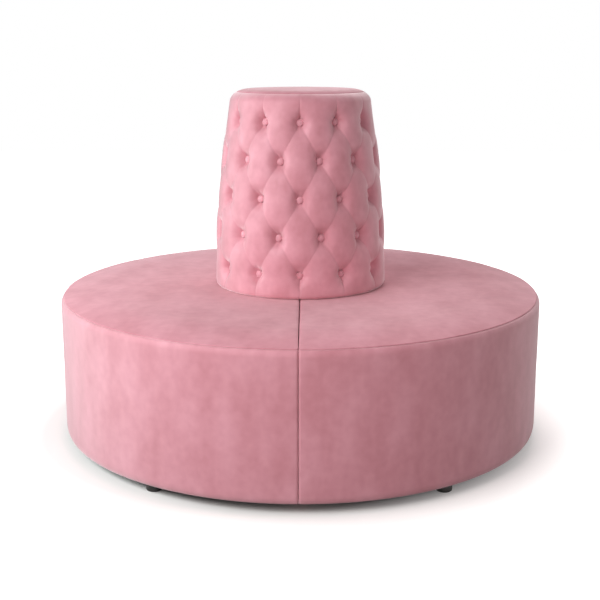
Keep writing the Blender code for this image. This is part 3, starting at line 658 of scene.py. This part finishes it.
def skirt_band(side, material):
    """The padded band round one half, from the seam down to the lip under the box, with the
    inner face of its wadding."""
    lines = [
        (outer_line(SEAT_RADIUS - outer_inset, JOINT_FACE + joint_inset), height)
        for outer_inset, joint_inset, height in band_rows()
    ]
    lip = lines[-1][0]
    inner = outer_line(SEAT_RADIUS - WADDING, JOINT_FACE, CORNER_RADIUS - WADDING)
    floor = HEM_HEIGHT + VELVET_THICKNESS
    lines += [(lip, floor), (inner, floor), (inner, DECK_TOP)]
    points = [np.concatenate([line, np.full((len(line), 1), z)], axis=1) for line, z in lines]
    count = len(lines)
    columns = len(points[0])
    faces = []
    for row in range(count):
        first = np.arange(columns) + row * columns
        second = np.arange(columns) + (row + 1) % count * columns
        faces += ring_faces(list(second), list(first), closed=False)
    starts = [row * columns for row in range(count)]
    faces += [tuple(starts), tuple(start + columns - 1 for start in starts[::-1])]
    points = mirrored(np.concatenate(points), side)
    ease = cloth_waves(points * np.array(BAND_SCALE), BAND_WAVES, BAND_SEEDS[side])
    height = points[:, 2]
    above_hem = np.clip((height - HEM_HEIGHT - HEM_CURL) / HEM_SLACK_RUN, 0, 1)
    inside = np.clip((SEAM_HEIGHT - height) / SEAM_SLACK_RUN, 0, 1) * above_hem
    radius = np.hypot(points[:, 0], points[:, 1])
    scale = 1 + SLACK * ease * inside / radius
    points[:, :2] *= np.where(np.abs(points[:, :1]) > JOINT_STILL, scale[:, None], 1)
    obj = add_mesh("skirt_band_" + side, points, faces, material)
    outward(obj)
    finish_piece(obj, "velvet", "band_cover_" + side, "skirt_wadding_" + side)


def cloth_sheet(name, points, faces, thickness, material):
    """A sheet of cloth whose mesh is its seen face, with its thickness behind that."""
    obj = add_mesh(name, points, faces, material)
    area = sum(face.area for face in obj.data.polygons)
    shell = obj.modifiers.new("cloth", "SOLIDIFY")
    shell.thickness = thickness
    shell.offset = -1
    return obj, area


def joint_side(side, material):
    """The velvet stretched down the straight side of one half, cut out for the back's hollow."""
    hollow = CORE_RADIUS + WELL_CLEARANCE
    rows = band_rows()
    points = []
    for outer_inset, joint_inset, height in rows:
        face = JOINT_FACE + joint_inset
        corner = SEAT_RADIUS - outer_inset - CORNER_RADIUS
        end = math.sqrt(corner**2 - (face + CORNER_RADIUS) ** 2) - SEAM_GAP / 2
        beside = np.linspace(hollow, end, JOINT_POINTS)
        across = np.linspace(-hollow, hollow, JOINT_POINTS)[1:-1]
        line = np.concatenate([-beside[::-1], across, beside])
        points += [(face, y, height) for y in line]
    columns = len(line)
    open_columns = range(JOINT_POINTS - 1, columns - JOINT_POINTS)
    faces = []
    for row, (_, _, lower) in enumerate(rows[1:]):
        for i in range(columns - 1):
            if i in open_columns and lower > DECK_UNDERSIDE:
                continue
            first, second = row * columns + i, (row + 1) * columns + i
            faces.append((first, first + 1, second + 1, second))
    points = mirrored(points, side)
    slack = 0.5 + 0.5 * cloth_noise(points * np.array(JOINT_SCALE), JOINT_WAVE, JOINT_SEED)
    drawn_in = SLACK * slack * np.clip((SEAM_HEIGHT - points[:, 2]) / SEAM_SLACK_RUN, 0, 1)
    points[:, 0] += np.sign(points[:, 0]) * drawn_in
    if side == "right":
        faces = [face[::-1] for face in faces]
    obj, area = cloth_sheet("joint_side_" + side, points, faces, VELVET_THICKNESS, material)
    finish_piece(obj, "velvet", "joint_cover_" + side)


def build_seats():
    seat_velvet = velvet_material("velvet_seat", *SEAT_LOOK)
    band_velvet = velvet_material("velvet_band", *BAND_LOOK)
    for side in SIDES:
        seat_cushion(side, seat_velvet)
        skirt_band(side, band_velvet)
        joint_side(side, band_velvet)


# Underside


def half_plan(inset):
    """A grid in plan over the underside of the right half, from its curved to its straight
    side."""
    face = JOINT_FACE + inset
    outer = outer_line(SEAT_RADIUS - inset, face)
    straight = np.stack([np.full(len(outer), face), STRAIGHT_SHARE * outer[:, 1]], axis=-1)
    shares = np.linspace(0, 1, UNDERSIDE_POINTS)[:, None, None]
    return outer[None] * (1 - shares) + straight[None] * shares


def from_fixings(plan):
    """Distance of each point in plan from the nearest foot or screw of a joining plate."""
    names = [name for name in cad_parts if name.startswith(("foot_", "plate_screw"))]
    boxes = [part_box(name) for name in sorted(names)]
    places = np.array([[(low.x + high.x) / 2, (low.y + high.y) / 2] for low, high in boxes])
    away = plan[:, None] - places[None]
    return np.min(np.hypot(away[..., 0], away[..., 1]), axis=1)


def dust_lining(side, material):
    """The black cloth under one half, with its edge folded in and stapled to the base board."""
    inset = HEM_LIP + SLACK
    plan = half_plan(inset + DUST_FOLD + DUST_FOLD_RUN)
    grid = np.concatenate([plan, np.ones((*plan.shape[:2], 1))], axis=-1)
    loops = [edge_loop(half_plan(inset + distance)) for distance in (DUST_FOLD, 0)]
    rings = [np.concatenate([loop, np.zeros((len(loop), 1))], axis=1) for loop in loops]
    points, faces, _ = ringed_grid(grid, rings)
    points = mirrored(points, side)
    plan = points[:, :2]
    border = SEAT_RADIUS - inset - np.hypot(plan[:, 0], plan[:, 1])
    border = np.minimum(border, np.abs(plan[:, 0]) - inset) - DUST_FOLD
    free = np.clip(border / DUST_EDGE_RUN, 0, 1)
    free *= np.clip((from_fixings(plan) - FIXING_FLAT) / FIXING_RUN, 0, 1)
    wrinkles = cloth_noise(points * np.array([1, 1, 0]), DUST_WAVE, DUST_SEEDS[side])
    sag = DUST_SAG * free * (DUST_SAG_MEAN + DUST_SAG_SWING * wrinkles)
    points[:, 2] = DUST_CLOTH_LOW + DUST_FOLD_RISE * points[:, 2] - sag
    centres = np.array([plan[list(face)].mean(axis=0) for face in faces])
    faces = [face for face, away in zip(faces, from_fixings(centres)) if away > FIXING_HOLE]
    if side == "left":
        faces = [face[::-1] for face in faces]
    name = "dust_lining_" + side
    obj, area = cloth_sheet(name, points, faces, DUST_CLOTH_THICKNESS, material)
    if obj.data.polygons[0].normal.z > 0:
        obj.data.flip_normals()
    finish_piece(obj, "dust_cloth", "dust_cover_" + side)


def staple_path():
    """(way along, height) of a staple's wire, from one end over its crown to the other."""
    half = STAPLE_LENGTH / 2
    bend = half - STAPLE_BEND
    wire = STAPLE_WIRE / 2
    return [
        (-half, STAPLE_END),
        (-half, STAPLE_KNEE),
        (-bend, -wire),
        (bend, -wire),
        (half, STAPLE_KNEE),
        (half, STAPLE_END),
    ]


def staples(side, material):
    """The staples along the folded edge of the black cloth, each one's crown and bent ends."""
    line = edge_loop(half_plan(HEM_LIP + SLACK + DUST_FOLD / 2))
    steps = np.hypot(*(np.roll(line, -1, axis=0) - line).T)
    along = np.concatenate([[0], np.cumsum(steps)])
    closed = np.concatenate([line, line[:1]])
    path = staple_path()
    wire = STAPLE_WIRE / 2
    turns = np.arange(STAPLE_SIDES) * 2 * math.pi / STAPLE_SIDES
    section = [(wire * math.cos(turn), wire * math.sin(turn)) for turn in turns]
    points, faces = [], []
    for centre in np.arange(STAPLE_SPACING / 2, along[-1], STAPLE_SPACING):
        here, ahead = (
            np.array([np.interp(at, along, closed[:, axis]) for axis in (0, 1)])
            for at in (centre, centre + STAPLE_AHEAD)
        )
        turn = math.atan2(*(ahead - here)[::-1]) + random.uniform(-STAPLE_SKEW, STAPLE_SKEW)
        forward = np.array([math.cos(turn), math.sin(turn), 0])
        side_on = np.array([-math.sin(turn), math.cos(turn), 0])
        base = np.array([here[0], here[1], DUST_CLOTH_LOW])
        start = len(points)
        for step, (reach, rise) in enumerate(path):
            upright = step in (0, len(path) - 1)
            over = forward if upright else np.array([0, 0, 1.0])
            spot = base + forward * reach + np.array([0, 0, rise])
            points += [spot + side_on * a + over * b for a, b in section]
        for step in range(len(path) - 1):
            first = [start + step * STAPLE_SIDES + i for i in range(STAPLE_SIDES)]
            faces += ring_faces(first, [i + STAPLE_SIDES for i in first], closed=True)
    obj = add_mesh("staples_" + side, mirrored(points, side), faces, material)
    finish_piece(obj, "steel")


def build_underside(cloth, steel):
    for side in SIDES:
        dust_lining(side, cloth)
        staples(side, steel)


# Back


def crown_radius(height):
    """Radius of the back over the crowns of its buttoned diamonds."""
    share = (height - SEAT_HEIGHT) / BACK_HEIGHT
    straight = BACK_BASE_RADIUS + (BACK_TOP_RADIUS - BACK_BASE_RADIUS) * share
    return straight + BACK_BULGE * 4 * share * (1 - share)


def tuft_drop(column, height):
    """How far the buttoned cloth lies in from the crowns. Column counts half button spacings."""
    row = (height - FIRST_ROW_HEIGHT) / ROW_SPACING
    inside = np.clip(row, 0, BUTTON_ROWS - 1)
    beyond = np.abs(row - inside)
    half_spacing = crown_radius(height) * math.pi / BUTTONS_ROUND
    room = (BACK_TOP - LAST_ROW_HEIGHT) / ROW_SPACING
    fade = np.clip(1 - beyond / room, 0, 1)

    # Pillows, highest midway between the folds that cross at the buttons
    across = np.abs((column + inside + 1) % 2 - 1)
    against = np.abs((column - inside + 1) % 2 - 1)
    swell = np.sin(math.pi / 2 * across) * np.sin(math.pi / 2 * against)
    drop = PILLOW_DEPTH * (1 - swell) * fade

    # Folds
    fold_pitch = half_spacing * ROW_SPACING / np.hypot(half_spacing, ROW_SPACING)
    pitch = np.where(beyond > 0, half_spacing, fold_pitch)
    to_fold = np.minimum(across, against) * pitch
    upright = 1 + UPRIGHT_FOLD * np.clip(beyond / UPRIGHT_RUN, 0, 1)
    drop += FOLD_DEPTH * upright * np.exp(-to_fold / FOLD_WIDTH) * np.sqrt(fade)

    # Pits, with flat facets between the folds
    near = np.round((column + inside) / 2)
    far = np.round((column - inside) / 2)
    aside = (column - near - far) * half_spacing
    above = (row - near + far) * ROW_SPACING
    facet = np.maximum(np.abs(aside), np.abs(above) * half_spacing / ROW_SPACING)
    edge = np.abs(aside) + PLEAT_SLANT * np.abs(above)
    past = np.sign(above) == np.sign(row - inside)
    reach = np.where((beyond > 0) & past, edge, facet)
    span = np.exp(-((aside / PIT_WIDTH) ** 2) - (above / PIT_HEIGHT) ** 2)
    drop += PIT_DEPTH * np.exp(-np.maximum(reach - PIT_FLOOR, 0) / PIT_REACH) * span

    # Pleats
    away = np.hypot(aside, above)
    phase = PLEAT_PHASES[0] * near + PLEAT_PHASES[1] * far
    pleat = np.cos(PLEATS * np.arctan2(above, aside) + phase)
    ring = np.exp(-((away / PLEAT_REACH - PLEAT_PEAK) ** 2) * PLEAT_FALL)
    return drop + PLEAT_DEPTH * pleat * ring


def button_places():
    """(column, height) of each button."""
    return [
        (2 * i + row % 2, FIRST_ROW_HEIGHT + row * ROW_SPACING)
        for row in range(BUTTON_ROWS)
        for i in range(BUTTONS_ROUND)
    ]


def shoulder_ring(degrees, tuck=0.0):
    """(radius, height) on the shoulder."""
    turn = math.radians(degrees)
    run = crown_radius(BACK_SHOULDER) - BACK_TOP_FLAT_RADIUS
    radius = BACK_TOP_FLAT_RADIUS + (run - tuck) * math.cos(turn)
    return radius, BACK_SHOULDER + (BACK_EDGE_RADIUS - tuck) * math.sin(turn)


def back_rows():
    """(radius, height, share of the buttoning) of the rings of the back's cover, from the top
    seam over the shoulder, down the side and round the hem."""
    rows = [(*shoulder_ring(BACK_SEAM_DEGREES, BACK_SEAM_TUCK), 0.0)]
    for turn in np.linspace(*COVER_DEGREES, BACK_EDGE_STEPS):
        rows.append((*shoulder_ring(turn), 1.0))
    step = ROW_SPACING / CELL_STEPS
    over = int((BACK_SHOULDER - LAST_ROW_HEIGHT) / step)
    under = int((FIRST_ROW_HEIGHT - SEAT_HEIGHT - BACK_HEM_RADIUS) / step)
    steps = range(over, -(BUTTON_ROWS - 1) * CELL_STEPS - under - 1, -1)
    rows += [(crown_radius(h), h, 1.0) for h in (LAST_ROW_HEIGHT + i * step for i in steps)]
    knee = BACK_BOTTOM + BACK_HEM_RADIUS
    for turn in np.radians(np.linspace(*BACK_HEM_DEGREES, BACK_HEM_STEPS)):
        inset = BACK_HEM_RADIUS * (1 - math.cos(turn))
        height = knee - BACK_HEM_RADIUS * math.sin(turn)
        rows.append((crown_radius(height) - inset, height, 1.0))
    rows.append((CORE_RADIUS, BACK_BOTTOM, 0.0))
    return rows


def back_cover(material):
    """The deep-buttoned cover of the back. Its quads start at a corner that puts their
    diagonal along the folds."""
    columns = 2 * BUTTONS_ROUND * CELL_STEPS
    column = np.arange(columns) / CELL_STEPS
    bearing = column * math.pi / BUTTONS_ROUND
    rows = back_rows()
    points = []
    for radius, height, share in rows:
        drop = share * tuft_drop(column, height)
        line = on_bearing(radius - drop, bearing)
        points.append(np.concatenate([line, np.full((columns, 1), height)], axis=1))
    faces = []
    for row in range(len(rows) - 1):
        middle = (rows[row][1] + rows[row + 1][1]) / 2
        cell_row = math.floor((middle - FIRST_ROW_HEIGHT) / ROW_SPACING)
        for i in range(columns):
            here, beside = row * columns + i, row * columns + (i + 1) % columns
            corners = [here, beside, beside + columns, here + columns]
            if (i // CELL_STEPS + cell_row) % 2 == 0:
                corners = corners[1:] + corners[:1]
            faces.append(tuple(corners))
    points = np.concatenate(points)
    ease = cloth_noise(points, BACK_WAVE, BACK_SEED)
    scale = 1 + BACK_SLACK * ease / np.hypot(points[:, 0], points[:, 1])
    points[:, :2] *= scale[:, None]
    obj = add_mesh("back_cover_buttoned", points, faces, material)
    face = obj.data.polygons[len(faces) // 2]
    if face.normal.xy.dot(face.center.xy) < 0:
        obj.data.flip_normals()
    finish_piece(obj, "velvet", "back_cover", "back_foam")


def back_top(material):
    """The padded top of the back, out over the shoulder to its seam."""
    profile = [(PANEL_MIDDLE, BACK_TOP)]
    for share in PANEL_SHARES:
        height = BACK_TOP - BACK_TOP_CROWN * share**BACK_CROWN_CURVE
        profile.append((BACK_TOP_FLAT_RADIUS * share, height))
    profile += [shoulder_ring(turn) for turn in np.linspace(*PANEL_DEGREES, PANEL_STEPS)]
    radius, height = shoulder_ring(BACK_SEAM_DEGREES, BACK_SEAM_TUCK)
    profile += [(radius, height), (radius - PANEL_TURN_IN[0], height - PANEL_TURN_IN[1])]
    obj = lathe("back_top_panel", profile, PANEL_SIDES, material)
    finish_piece(obj, "velvet", "back_top_cover", "back_top_pad")


def buttons(material):
    """All the covered buttons, each one a low dome with a turned-in edge."""
    dome = [(BUTTON_MIDDLE, BUTTON_RISE)]
    for turn in np.radians(np.linspace(*BUTTON_DEGREES, BUTTON_STEPS)):
        dome.append((BUTTON_RADIUS * math.cos(turn), BUTTON_RISE * math.sin(turn)))
    dome += [(BUTTON_RADIUS * share, height) for share, height in BUTTON_EDGE]
    shape = lathe_points(dome, BUTTON_SIDES)
    points, faces = [], []
    for column, height in button_places():
        bearing = column * math.pi / BUTTONS_ROUND
        radius = crown_radius(height) - float(tuft_drop(np.array(float(column)), height))
        rise = crown_radius(height + SLOPE_STEP) - crown_radius(height - SLOPE_STEP)
        tilt = math.atan(-rise / (2 * SLOPE_STEP)) + random.uniform(-BUTTON_TILT, BUTTON_TILT)
        facing = Matrix.Rotation(bearing - math.pi / 2, 4, "Z")
        upright = Matrix.Rotation(math.pi / 2 - tilt, 4, "Y")
        x, y = on_bearing(radius + BUTTON_LIFT, bearing)
        z = height + random.uniform(-BUTTON_SHIFT, BUTTON_SHIFT)
        place = Matrix.Translation((x, y, z)) @ (facing @ upright)
        faces += lathe_faces(len(dome), BUTTON_SIDES, start=len(points))
        points += [place @ Vector(point) for point in shape]
    obj = add_mesh("back_buttons", points, faces, material)
    outward(obj)
    finish_piece(obj, "velvet")


def build_back():
    back_cover(velvet_material("velvet_back", *BACK_LOOK))
    back_top(velvet_material("velvet_top", *SEAT_LOOK))
    # The buttons get a lighter copy of the velvet, as painted highlight
    buttons(velvet_material("velvet_button", *BUTTON_LOOK))


# Feet, and the solids that stay as they are


def build_feet():
    material = grainy_material("moulded_black", *BLACK_PLASTIC)
    for name in sorted(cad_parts):
        if not name.startswith("foot_"):
            continue
        low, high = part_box(name)
        radius = (high.x - low.x) / 2
        place = ((low.x + high.x) / 2, (low.y + high.y) / 2, 0)
        shoulder = BASE_UNDERSIDE - FOOT_GAP
        top_edge = (radius - FOOT_TOP_EDGE, shoulder - FOOT_TOP_EDGE)
        profile = [(FOOT_SPIGOT, high.z), (FOOT_SPIGOT, shoulder)]
        profile += arc_profile(top_edge, FOOT_TOP_EDGE, 90, 0, FOOT_TOP_STEPS)
        profile += arc_profile((radius - FOOT_EDGE, FOOT_EDGE), FOOT_EDGE, 0, -90, FOOT_STEPS)
        profile += [(radius * share, height) for share, height in FOOT_DISH]
        obj = lathe(name + "_turned", profile, FOOT_SIDES, material, place)
        finish_piece(obj, "black_plastic", name)


def dress_cad_nodes(steel):
    """Materials for the solids that stay as they are."""
    plywood = plywood_material()
    for name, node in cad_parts.items():
        metal = name.startswith(("joining_plate", "plate_screw", "back_bolt"))
        node.data.materials.clear()
        node.data.materials.append(steel if metal else plywood)


# Stage


def seen_directly(tree):
    """1 for what the camera sees, by itself or in gloss or glass, and 0 for bounced light."""
    paths = add_node(tree, "ShaderNodeLightPath").outputs
    mirrored_too = math_node(tree, "MAXIMUM", paths["Is Camera Ray"], paths["Is Glossy Ray"])
    return math_node(tree, "MAXIMUM", mirrored_too, paths["Is Transmission Ray"])


def floor_material():
    """A floor that keeps the sofa's shadow near it and is seen as white farther out."""
    material, tree, shader = new_material("white_floor")
    output = tree.nodes["Material Output"]
    tree.nodes.remove(shader)
    seen = seen_directly(tree)
    inputs = {"Value": seen, "To Min": FLOOR_BOUNCE, "To Max": FLOOR_SEEN}
    albedo = add_node(tree, "ShaderNodeMapRange", inputs).outputs[0]
    inputs = {0: object_place(tree), 1: SHADOW_CENTRE}
    radius = add_node(tree, "ShaderNodeVectorMath", inputs, operation="DISTANCE").outputs["Value"]
    inputs = {"Value": radius, "From Min": SHADOW_START, "From Max": SHADOW_END}
    away = add_node(tree, "ShaderNodeMapRange", inputs).outputs[0]
    warm = {
        channel: math_node(tree, "MULTIPLY", albedo, level)
        for channel, level in zip(("Red", "Green", "Blue"), FLOOR_TINT)
    }
    colour = add_node(tree, "ShaderNodeCombineColor", warm).outputs["Color"]
    lit = add_node(tree, "ShaderNodeBsdfDiffuse", {"Color": colour})
    share = math_node(tree, "MULTIPLY", seen, away)
    glow = add_node(tree, "ShaderNodeEmission", {"Color": WHITE, "Strength": share})
    mixed = add_node(tree, "ShaderNodeAddShader", {0: lit.outputs[0], 1: glow.outputs[0]})
    tree.links.new(mixed.outputs[0], output.inputs["Surface"])
    return material


def build_stage():
    """A white floor and a white surrounding."""
    corners = ((-1, -1), (1, -1), (1, 1), (-1, 1))
    points = [(FLOOR_REACH * x, FLOOR_REACH * y, 0) for x, y in corners]
    floor = add_mesh("floor", points, [(0, 1, 2, 3)], floor_material(), smooth=False)

    world = bpy.data.worlds.new("studio")
    bpy.context.scene.world = world
    world.use_nodes = True
    tree = world.node_tree
    sky = tree.nodes["Background"]
    sky.inputs["Color"].default_value = WHITE
    inputs = {"Value": seen_directly(tree), "To Min": SKY, "To Max": 1.0}
    strength = add_node(tree, "ShaderNodeMapRange", inputs).outputs[0]
    tree.links.new(strength, sky.inputs["Strength"])


def build_lights():
    """Area lamps round the sofa, all aimed at its middle."""
    for name, (bearing, elevation, distance, size, power, colour) in LIGHTS.items():
        turn = math.radians(elevation)
        x, y = on_bearing(distance * math.cos(turn), math.radians(bearing))
        place = Vector((x, y, LIGHT_AIM + distance * math.sin(turn)))
        light = bpy.data.lights.new(name, "AREA")
        light.color = colour
        light.size = size
        light.energy = power
        obj = bpy.data.objects.new(name, light)
        obj.location = place
        aim = Vector((0, 0, LIGHT_AIM)) - place
        obj.rotation_euler = aim.to_track_quat("-Z", "Y").to_euler()
        bpy.context.scene.collection.objects.link(obj)


def build_camera():
    data = bpy.data.cameras.new("camera")
    data.lens = CAMERA_LENS
    data.sensor_width = SENSOR_WIDTH
    obj = bpy.data.objects.new("camera", data)
    obj.location = CAMERA_PLACE
    obj.rotation_euler = (math.pi / 2 - CAMERA_PITCH, 0, CAMERA_YAW)
    bpy.context.scene.collection.objects.link(obj)
    bpy.context.scene.camera = obj
    bpy.context.scene.view_settings.view_transform = "Standard"


build_camera()
build_stage()
build_lights()
steel = grainy_material("zinc_steel", *STEEL, metallic=1.0)
lining = grainy_material("lining_black", *DUST_CLOTH)
dress_cad_nodes(steel)
build_seats()
build_underside(lining, steel)
build_back()
build_feet()
